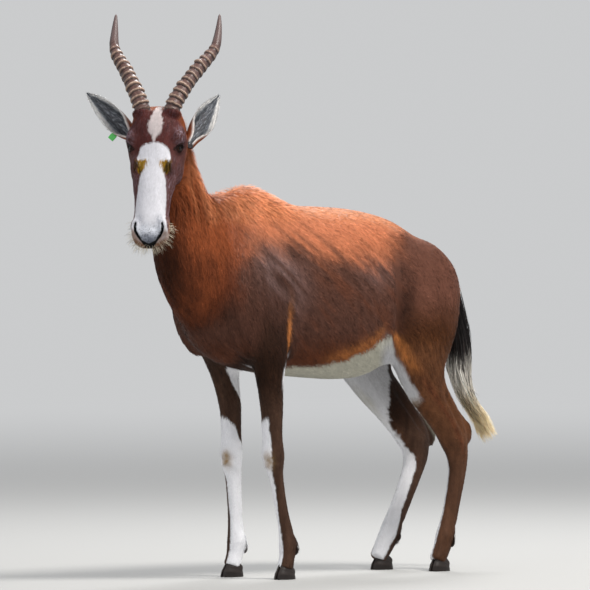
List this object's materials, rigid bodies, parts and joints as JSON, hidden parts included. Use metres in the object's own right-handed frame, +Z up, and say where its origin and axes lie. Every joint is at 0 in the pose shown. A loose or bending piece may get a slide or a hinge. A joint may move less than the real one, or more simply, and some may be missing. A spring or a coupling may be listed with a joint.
{
  "type": "blesbok",
  "caption": "Life-size standing blesbok with ringed horns and long tail hair, its head turned to its left; a still animal model for display.",
  "frame": {"origin": "on the floor under the middle of the bounding box", "axes": "+Z up; the animal faces -Y and its left side is +X"},
  "size_m": [0.346, 1.3502, 1.4201],
  "materials": {
    "coat": "short glossy coat, red-brown to dark brown, white face",
    "leg_coat": "short coat, white with dark brown outer sides",
    "horn": "ringed horn, pale crests",
    "ear": "short pale grey hair",
    "eye": "wet, very dark brown",
    "hoof": "dark horn",
    "tail_hair": "long hair, black above and straw below",
    "ear_tag": "plain green"
  },
  "bodies": {
    "root": {"dewclaw_fore_left_inner": "hoof", "dewclaw_fore_left_outer": "hoof", "dewclaw_fore_right_inner": "hoof", "dewclaw_fore_right_outer": "hoof", "dewclaw_hind_left_inner": "hoof", "dewclaw_hind_left_outer": "hoof", "dewclaw_hind_right_inner": "hoof", "dewclaw_hind_right_outer": "hoof", "ear_left": "ear", "ear_right": "ear", "ear_tag": "ear_tag", "eye_left": "eye", "eye_right": "eye", "foreleg_left_lower": "leg_coat", "foreleg_left_upper": "leg_coat", "foreleg_right_lower": "leg_coat", "foreleg_right_upper": "leg_coat", "head": "coat", "hindleg_left_lower": "leg_coat", "hindleg_left_upper": "leg_coat", "hindleg_right_lower": "leg_coat", "hindleg_right_upper": "leg_coat", "hoof_fore_left_inner": "hoof", "hoof_fore_left_outer": "hoof", "hoof_fore_right_inner": "hoof", "hoof_fore_right_outer": "hoof", "hoof_hind_left_inner": "hoof", "hoof_hind_left_outer": "hoof", "hoof_hind_right_inner": "hoof", "hoof_hind_right_outer": "hoof", "horn_left": "horn", "horn_right": "horn", "neck": "coat", "tail": "tail_hair", "torso": "coat"}
  },
  "joints": []
}
